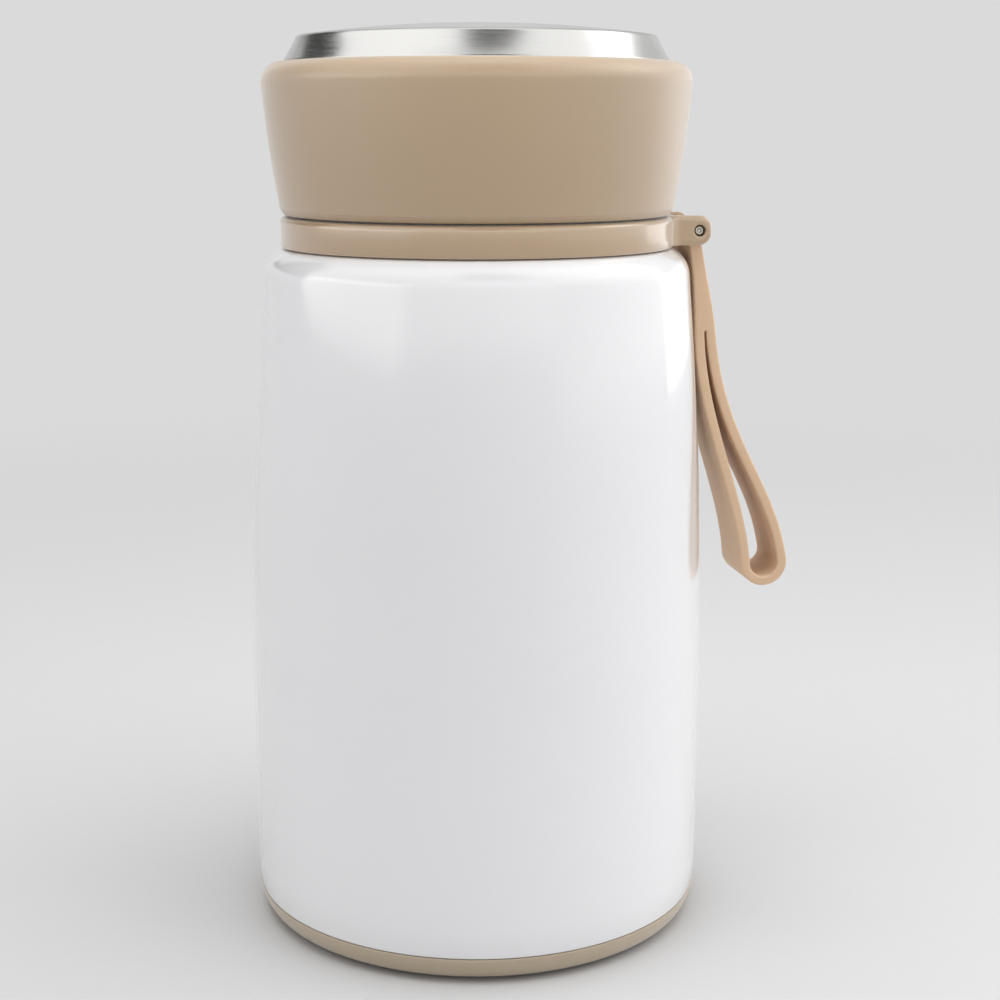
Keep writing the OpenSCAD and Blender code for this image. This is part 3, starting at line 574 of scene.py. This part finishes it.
# -------------------------------------------- collar ring and lug

def ring_outline():
    bore_edge, low_edge, lip_edge = 0.1, 0.35, 0.15
    lip_z = COLLAR_TOP - COLLAR_LIP_H
    return rounded(
        [(COLLAR_IN_R, SHOULDER_Z, bore_edge), (RING_TOP_R, SHOULDER_Z, low_edge)]
        + arc(RING_TOP_R - COLLAR_EDGE_R, COLLAR_TOP - COLLAR_EDGE_R, COLLAR_EDGE_R, 0, 90, 10)
        + [(COLLAR_LIP_R, COLLAR_TOP, lip_edge), (COLLAR_LIP_R, lip_z), (COLLAR_IN_R, lip_z)])


def rounded_slab(name, outline, low, high, edge, steps=7):
    """An (x, z) outline extruded along Y, with both of its end faces rounded at their edges."""
    n = len(outline)
    points = [Vector(p) for p in outline]
    turn = [(points[(i + 1) % n] - points[i - 1]).normalized() for i in range(n)]
    inward = [Vector((-t.y, t.x)) for t in turn]
    rounds = [(edge * (1 - sin(pi / 2 * k / steps)), edge * (1 - cos(pi / 2 * k / steps)))
              for k in range(steps + 1)]
    layers = ([(inset, low + y) for inset, y in rounds]
              + [(inset, high - y) for inset, y in rounds[::-1]])
    vertices = [(p.x + inset * d.x, y, p.y + inset * d.y)
                for inset, y in layers for p, d in zip(points, inward)]
    faces = [list(range(n)), list(range(len(vertices) - n, len(vertices)))[::-1]]
    faces += [[j * n + i, j * n + (i + 1) % n, (j + 1) * n + (i + 1) % n, (j + 1) * n + i]
              for j in range(len(layers) - 1) for i in range(n)]
    return new_object(name, vertices, faces)


def join_by_fillet(lug, side):
    """Fills the corner between the lug's side face and the ring with a fillet."""
    r = LUG_FILLET_R
    y = LUG_HALF + r
    x = sqrt((RING_TOP_R + r) ** 2 - y ** 2)
    start = atan2(-y, -x)
    bow = [(x + r * cos(a), y + r * sin(a)) for a in spread(start, -pi / 2 - start, 14)]
    # these three corners lie inside the ring and the lug
    wedge = ([(bow[0][0] - 0.8, bow[0][1] - 0.4)] + bow
             + [(x, LUG_HALF - 1.5), (LUG_ROOT_X, LUG_HALF - 1.5)])
    tool = prism("wedge", [(px, side * py) for px, py in wedge], SHOULDER_Z, COLLAR_TOP - 0.5, "Z")
    combine(lug, tool, "UNION")


def lug_mesh():
    """The two-eared lug, joined to the ring by fillets, cut for the strap and the pin."""
    r = LUG_END_R
    side = ([(LUG_ROOT_X, SHOULDER_Z)] + arc(LUG_X - r, SHOULDER_Z + r, r, 270, 360, 16)
            + arc(LUG_X - r, COLLAR_TOP - r, r, 0, 90, 16) + [(LUG_ROOT_X, COLLAR_TOP)])
    lug = rounded_slab("collar_lug", side, -LUG_HALF, LUG_HALF, LUG_EDGE_R)
    for s in (-1, 1):
        join_by_fillet(lug, s)
    # the cutters reach past the lug
    near, far = RING_TOP_R + SLOT_GAP, LUG_X + 5
    slot = prism("slot", [(near, -SLOT_HALF), (far, -SLOT_HALF), (far, SLOT_HALF),
                          (near, SLOT_HALF)], SHOULDER_Z - 3, COLLAR_TOP + 3, "Z")
    combine(lug, slot, "DIFFERENCE")
    hole = prism("hole", arc(PIN_X, PIN_Z, PIN_R + PIN_SINK_GAP, 0, 348.75, 31),
                 -2 * LUG_HALF, 2 * LUG_HALF)
    combine(lug, hole, "DIFFERENCE")
    return lug


def soften(lug):
    """Melts the lug's joints and edges together, as in a moulding."""
    mod = lug.modifiers.new("voxels", "REMESH")
    mod.mode = "VOXEL"
    mod.voxel_size = LUG_VOXEL * MM
    mod.use_smooth_shade = True
    mod = lug.modifiers.new("soften", "CORRECTIVE_SMOOTH")
    mod.iterations = 10
    mod.factor = 0.6
    mod.use_only_smooth = True
    apply_modifiers(lug)
    shade(lug, 60)


ring = lathe("collar_ring", ring_outline())
lug = lug_mesh()
soften(lug)
stand_for(ring, COLLAR_PLASTIC, "flask", "collar")
stand_for(lug, COLLAR_PLASTIC, "flask", None)


# -------------------------------------------- strap pin

def pin_outline():
    """The pin from end to end along its axis, with a dimple in each end."""
    end = LUG_HALF - PIN_SINK
    tip = [(r, end - depth) for r, depth in PIN_TIP]
    return tip + [(r, -z) for r, z in tip[::-1]]


pin = lathe("strap_pin_detailed", pin_outline(), 64, 60)
pin.data.transform(ON_PIN)
stand_for(pin, PIN_STEEL, "flask", "strap_pin")


# -------------------------------------------- strap

def heading(degrees):
    """The direction at an angle from straight down, towards the outside."""
    return Vector((sin(radians(degrees)), -cos(radians(degrees))))


def bezier(a, a_angle, a_pull, b, b_angle, b_pull, steps):
    """A curve from a to b that leaves and arrives at the given headings. A longer pull keeps
    a heading for longer."""
    p, q = a + a_pull * heading(a_angle), b - b_pull * heading(b_angle)
    return [a * (1 - t) ** 3 + p * 3 * t * (1 - t) ** 2 + q * 3 * t * t * (1 - t) + b * t ** 3
            for t in spread(0, 1, steps)]


def arc_vectors(*values):
    return [Vector(p) for p in arc(*values)]


def strap_outlines():
    """The strap's outline, its slit with the loop's inside, and its eye, about the pin."""
    half = LEG_T / 2
    fork_x = wall_r(PIN_Z - SLIT_DROP) + STRAP_GAP + LEG_T + SLIT_HALF - PIN_X
    fork = Vector((fork_x, -SLIT_DROP))
    loop = Vector((LOOP_OUT, -LOOP_DROP))
    half_leg, half_slit = Vector((half, 0)), Vector((SLIT_HALF, 0))
    in_top = fork - Vector((half + SLIT_HALF, 0))
    out_top = fork + Vector((half + SLIT_HALF, 0))
    low, high = radians(5), radians(10)
    in_low = loop + LOOP_R * Vector((-cos(low), -sin(low)))
    out_low = loop + LOOP_R * Vector((cos(high), sin(high)))
    # each curve's ends: point, heading in degrees, pull
    in_leg = bezier(in_top, 2, 19, in_low, 5, 16, 48)
    out_leg = bezier(out_top, 6, 25, out_low, 10, 18.5, 48)
    bottom = arc_vectors(loop.x, loop.y, LOOP_R, 185, 370, 40)
    path = in_leg + bottom[1:-1] + out_leg[::-1]

    def beside(distance):
        """The legs' middle line, moved sideways."""
        moved = []
        for i in range(1, len(path) - 1):
            way = (path[i + 1] - path[i - 1]).normalized()
            moved.append(path[i] + distance * Vector((-way.y, way.x)))
        return moved

    in_stem = bezier(Vector((-EYE_R, 0)), 17, 8, in_top - half_leg, 2, 9, 16)
    out_stem = bezier(Vector((EYE_R / 3, 0)), 6, 7, out_top + half_leg, 6, 7, 16)
    # the stem's outer side runs up into the round eye
    start = next(i for i, p in enumerate(out_stem) if p.length > EYE_R)
    outside = (in_stem + beside(-half) + out_stem[:start - 1:-1]
               + arc_vectors(0, 0, EYE_R, -62, 180, 40))
    slit = ([fork - half_slit] + beside(half) + [fork + half_slit]
            + arc_vectors(fork.x, fork.y, SLIT_HALF, 10, 170, 6))
    eye_hole = arc_vectors(0, 0, PIN_R + PIN_PLAY, 0, 350, 35)
    return [outside, slit, eye_hole]


def strap_mesh():
    """The strap's outlines as a bevelled slab, with its eye round the pin."""
    shortest_step, weld = 0.02, 1e-6
    curve = bpy.data.curves.new("strap_outline", "CURVE")
    curve.dimensions = "2D"
    curve.fill_mode = "BOTH"
    curve.extrude = (STRAP_HALF - STRAP_EDGE_R) * MM
    curve.bevel_depth = STRAP_EDGE_R * MM
    curve.bevel_resolution = 4
    curve.offset = -STRAP_EDGE_R * MM
    for outline in strap_outlines():
        clean = [p for i, p in enumerate(outline) if (p - outline[i - 1]).length > shortest_step]
        spline = curve.splines.new("POLY")
        spline.points.add(len(clean) - 1)
        for point, p in zip(spline.points, clean):
            point.co = (p.x * MM, p.y * MM, 0, 1)
        spline.use_cyclic_u = True
    outlines = add_object("strap_outlines", curve)
    mesh = evaluated_mesh(outlines)
    bpy.data.objects.remove(outlines)
    mesh.transform(ON_PIN)
    face_outward(mesh, weld)
    obj = add_object("strap_detailed", mesh)
    shade(obj, 40)
    return obj


strap = strap_mesh()
stand_for(strap, STRAP_SILICONE, "strap", "strap")


# -------------------------------------------- lid

def lid_outline():
    side_z = LID_Z + LID_BEVEL_H
    height = LID_EDGE_Z - side_z
    arc_x = LID_EDGE_R - LID_TOP_R
    hole, roof = BOWL_R + FIT_GAP, LID_TOP - LID_WALL
    low_edge, bevel_edge, hole_edge = 0.3, 0.4, 0.2

    def side(start, steps, inward):
        """The side from a share of its height to its top, moved inward."""
        return [(LID_LOW_R + LID_FLARE * t + 4 * LID_BULGE * t * (1 - t) - inward,
                 side_z + height * t) for t in spread(start, 1 - start, steps)]

    outer = side(0, 32, 0)
    inner = side((BOWL_RIM_Z - side_z) / height, 10, LID_WALL)
    return rounded(
        [(LID_SEAT_R, LID_Z, low_edge), (LID_LOW_R - LID_BEVEL_W, LID_Z, low_edge),
         (*outer[0], bevel_edge)] + outer[1:]
        + arc(arc_x, LID_EDGE_Z, LID_TOP_R, 0, 86, 22)[1:]
        + [(hole, LID_TOP, hole_edge), (hole, roof), (arc_x, roof)]
        + arc(arc_x, LID_EDGE_Z, LID_TOP_R - LID_WALL, 80, 0, 6) + inner[::-1]
        + [(LID_SEAT_R, BOWL_RIM_Z)])


lid = lathe("lid_shell_detailed", lid_outline(), crease=30)
stand_for(lid, LID_PLASTIC, "lid", "lid_shell")


def bowl_outline():
    """The steel bowl upside down: rim, side, leaning foot, rounded edge and crowned top."""
    lean = atan2(BOWL_FOOT_IN, BOWL_TOP - LID_TOP)
    foot_h = BOWL_TOP - BOWL_EDGE_R * (1 - sin(lean)) - LID_TOP
    edge_x = BOWL_R - BOWL_FOOT_IN - BOWL_EDGE_R * cos(lean)
    edge_z = BOWL_TOP - BOWL_EDGE_R
    crown_lean = asin(edge_x / (BOWL_CROWN_R - BOWL_EDGE_R))
    crown_z = edge_z - (BOWL_CROWN_R - BOWL_EDGE_R) * cos(crown_lean)
    flat_lean = asin(BOWL_FLAT_R / BOWL_CROWN_R)
    flat_z = crown_z + BOWL_CROWN_R * cos(flat_lean)
    foot_angle, crown_angle, flat_angle = [
        v * 180 / pi for v in (lean, pi / 2 - crown_lean, pi / 2 - flat_lean)]
    rim_edge, shoulder_edge = 0.2, 3

    def skin(inward, edge_steps):
        foot = [(BOWL_R - BOWL_FOOT_IN * t - 4 * BOWL_FOOT_HOLLOW * t * (1 - t) - inward,
                 LID_TOP + foot_h * t) for t in spread(0, 1, 16)[:-1]]
        crown = arc(0, crown_z, BOWL_CROWN_R - inward, crown_angle, flat_angle, 16)
        return ([(BOWL_RIM_R - inward, BOWL_RIM_Z, rim_edge),
                 (BOWL_R - inward, LID_TOP - LID_WALL, shoulder_edge)] + foot
                + arc(edge_x, edge_z, BOWL_EDGE_R - inward, foot_angle, crown_angle, edge_steps)
                + crown[1:-1] + [(*crown[-1], BOWL_FLAT_EDGE_R), (0, flat_z - inward)])

    return rounded(skin(0, 10) + skin(BOWL_WALL, 5)[::-1], 6)


bowl = lathe("lid_bowl_detailed", bowl_outline(), crease=40)
stand_for(bowl, FOOT_STEEL, "lid", "lid_bowl")

# -------------------------------------------- carried CAD nodes

CARRIED = {
    VESSEL_STEEL: ("shell_bottom", "inner_vessel"),
    SOLDER: ("vacuum_solder",),
    GETTER: ("getter",),
    COPPER: ("heat_shield",),
    PAD_SILICONE: ("base_pad",),
    MILK: ("neck_thread_ring", "lid_thread_ring", "stopper_body", "stopper_base", "vent_stem"),
    SEAL: ("lid_seal", "stopper_seal", "vent_disc"),
    FOAM: ("stopper_foam",),
    LID_PLASTIC: ("stopper_cover",),
    BUTTON_PLASTIC: ("vent_button",),
    PIN_STEEL: ("vent_spring",),
}
for material, names in CARRIED.items():
    for name in names:
        dress(nodes[name], material)

# the spring gets a mesh of its own
spring = nodes["vent_spring"]
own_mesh(spring)


# -------------------------------------------- floor, backdrop, lights, camera
# from here on lengths are in metres

CAMERA_AZIMUTH = radians(-100)
AIM_Z = 0.1
BACKDROP = (0.70, 0.70, 0.706)
WHITE = (1.0, 1.0, 1.0)
CARD_WHITE = (1.0, 1.0, 0.99)
ROOM_LIGHT = 0.365
FLOOR_HALF = 6
FLOOR_FADE = (0.14, 0.75)
CAMERA_TILT = 11.84


def toward(azimuth, elevation, distance):
    """A point round the jar, at an angle from the photograph's own direction."""
    a = CAMERA_AZIMUTH + radians(azimuth)
    e = radians(elevation)
    return Vector((distance * cos(e) * cos(a), distance * cos(e) * sin(a),
                   AIM_Z + distance * sin(e)))


def seen_rays(tree):
    """1 for rays from the camera, from gloss and through glass, 0 for the rest."""
    rays = tree.nodes.new("ShaderNodeLightPath")
    last = rays.outputs["Is Camera Ray"]
    for name in ("Is Glossy Ray", "Is Transmission Ray"):
        most = tree.nodes.new("ShaderNodeMath")
        most.operation = "MAXIMUM"
        tree.links.new(last, most.inputs[0])
        tree.links.new(rays.outputs[name], most.inputs[1])
        last = most.outputs[0]
    return last


def plane(name, corners):
    mesh = bpy.data.meshes.new(name)
    mesh.from_pydata(corners, [], [(0, 1, 2, 3)])
    obj = add_object(name, mesh)
    return obj


def floor_material():
    """Grey paper that turns into the backdrop's tone further out, for rays that see it."""
    m = Nodes("floor_paper")
    m.colour(m.mix(m.noise(6, 3), (0.555, 0.555, 0.56), (0.575, 0.575, 0.58)))
    m.roughness(m.vary(m.noise(300, 3), 0.62, 0.72))
    m.bump(m.noise(1500, 3), 0.05, 0.0001)
    far = m.add("ShaderNodeVectorMath", operation="LENGTH")
    m.link(m.coords, far.inputs[0])
    fade = m.ramp(far.outputs["Value"], *FLOOR_FADE, 0.0, 1.0, "SMOOTHSTEP")
    m.surface(m.math("MULTIPLY", fade, seen_rays(m.tree)), m.bsdf.outputs[0],
              m.glow(BACKDROP, 1.0))
    return m.mat


def softbox(name, azimuth, elevation, distance, width, height, radiance):
    """A rectangular lamp of the given radiance that faces the jar."""
    data = bpy.data.lights.new(name, "AREA")
    data.shape = "RECTANGLE"
    data.size, data.size_y = width, height
    data.energy = radiance * pi * width * height
    lamp = add_object(name, data)
    lamp.location = toward(azimuth, elevation, distance)
    aim = Vector((0, 0, AIM_Z)) - lamp.location
    lamp.rotation_euler = aim.to_track_quat("-Z", "Y").to_euler()
    return lamp


def card(name, directions, distance, radiance, fade=0.12):
    """A studio card that only gloss sees, with soft edges and its corners in four directions."""
    obj = plane(name, [toward(azimuth, elevation, distance) for azimuth, elevation in directions])
    layer = obj.data.uv_layers.new(name="across")
    for corner, uv in enumerate(((0, 0), (1, 0), (1, 1), (0, 1))):
        layer.data[corner].uv = uv
    m = Nodes(name)
    split = m.add("ShaderNodeSeparateXYZ")
    m.link(m.add("ShaderNodeTexCoord").outputs["UV"], split.inputs[0])
    shares = []
    for across in split.outputs[:2]:
        from_middle = m.math("ABSOLUTE", m.math("SUBTRACT", across, 0.5))
        shares.append(m.ramp(m.math("SUBTRACT", 0.5, from_middle), 0.0, fade, 0.0, 1.0,
                             "SMOOTHSTEP"))
    m.surface(m.math("MULTIPLY", *shares), m.add("ShaderNodeBsdfTransparent").outputs[0],
              m.glow(CARD_WHITE, radiance))
    dress(obj, m.mat)
    obj.visible_camera = obj.visible_diffuse = obj.visible_shadow = False
    obj.visible_transmission = obj.visible_volume_scatter = False


def span(left, right, low, high):
    """The four corner directions of a card between two azimuths and two elevations."""
    return (left, low), (right, low), (right, high), (left, high)


floor = plane("floor", [(x * FLOOR_HALF, y * FLOOR_HALF, 0)
                        for x, y in ((-1, -1), (1, -1), (1, 1), (-1, 1))])
dress(floor, floor_material())

world = bpy.data.worlds.new("studio")
bpy.context.scene.world = world
world.use_nodes = True
tree = world.node_tree
tree.nodes.clear()
mix = tree.nodes.new("ShaderNodeMixShader")
tree.links.new(seen_rays(tree), mix.inputs[0])
for i, colour, strength in ((1, WHITE, ROOM_LIGHT), (2, BACKDROP, 1.0)):
    room = tree.nodes.new("ShaderNodeBackground")
    room.inputs["Color"].default_value = (*colour, 1)
    room.inputs["Strength"].default_value = strength
    tree.links.new(room.outputs[0], mix.inputs[i])
tree.links.new(mix.outputs[0], tree.nodes.new("ShaderNodeOutputWorld").inputs[0])

# name, azimuth, elevation, distance, width, height, radiance
softbox("softbox_left", -68, 30, 1.0, 1.2, 1.1, 0.6)
softbox("softbox_right", 84, 30, 1.0, 1.2, 1.1, 1.5)
softbox("softbox_above", 0, 88, 1.1, 1.1, 1.1, 3.2).visible_glossy = False
softbox("softbox_behind_right", 130, 5, 1.0, 0.6, 0.3, 1.2)

# name, corner directions, distance, radiance, share of the width that fades out
card("card_low_left", span(-106, -32, 1, 20), 1.3, 2.2)
card("card_low_front", span(-40, 46, 1, 30), 1.3, 1.6)
card("card_low_right", span(38, 124, -3, 30), 1.3, 1.2)
card("card_high_left", span(-106, -6, 20, 66), 1.25, 1.3)
card("card_high_right", span(34, 116, 26, 66), 1.25, 1.2)
card("card_overhead", ((-45, 54), (45, 54), (135, 54), (225, 54)), 1.15, 1.05, 0.3)
card("flag_above_camera", span(-10, 38, 40, 74), 1.1, 0.15, 0.25)
card("flag_left", span(-150, -103, 11, 42), 1.35, 0.03, 0.06)
card("flag_behind", span(120, 228, 12, 60), 1.5, 0.6)

lens = bpy.data.cameras.new("camera")
lens.lens = 64.8
lens.sensor_width = 36
lens.shift_x = 0.0233
lens.clip_start = 0.02
camera = add_object("camera", lens)
camera.location = (-0.0680, -0.3857, 0.1741)
camera.rotation_euler = (radians(90 - CAMERA_TILT), 0, radians(-10))
bpy.context.scene.camera = camera
bpy.context.scene.view_settings.view_transform = "Standard"
